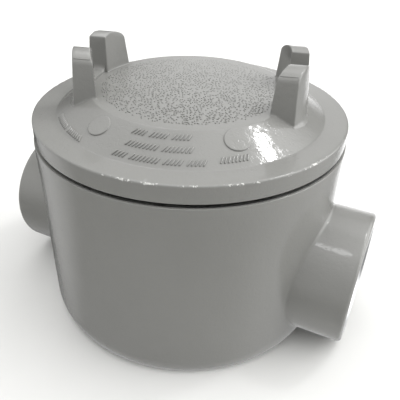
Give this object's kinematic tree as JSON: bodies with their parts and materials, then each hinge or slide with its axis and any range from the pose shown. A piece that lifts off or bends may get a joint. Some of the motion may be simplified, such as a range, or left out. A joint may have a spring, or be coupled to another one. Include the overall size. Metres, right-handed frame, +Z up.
{
  "type": "explosion-proof junction box",
  "caption": "Round cast conduit junction box with opposed threaded hubs and a screw-on cover with bar lugs, sealed by an O-ring, for wiring splices in hazardous areas.",
  "frame": {"origin": "middle of the flat base, on the axis of the round body", "axes": "+Z up along the cover's thread axis, +X along the line of the two conduit hubs"},
  "size_m": [0.186, 0.147, 0.1314],
  "materials": {
    "grey_enamel": "gloss light grey enamel on cast aluminium",
    "machined_aluminium": "turned bare metal",
    "black_rubber": "matt",
    "green_zinc": "green dyed zinc plate",
    "plated_steel": "zinc plate"
  },
  "bodies": {
    "body": {"body": "grey_enamel", "ground_screw": "green_zinc", "ground_washer": "plated_steel"},
    "seal": {"cover_o_ring": "black_rubber"},
    "cover": {"cover": "grey_enamel"}
  },
  "joints": [
    {"name": "cover_lift", "type": "slide", "parent": "body", "child": "seal", "axis": [0, 0, 1], "range_m": [0, 0.0183]},
    {"name": "cover_turn", "type": "hinge", "parent": "seal", "child": "cover", "pos_m": [0, 0, 0.1], "axis": [0, 0, 1], "range_deg": [0, 2070]}
  ],
  "couplings": [
    {"joint": "cover_lift", "follows": "cover_turn", "m_per_rad": 0.00050532}
  ]
}
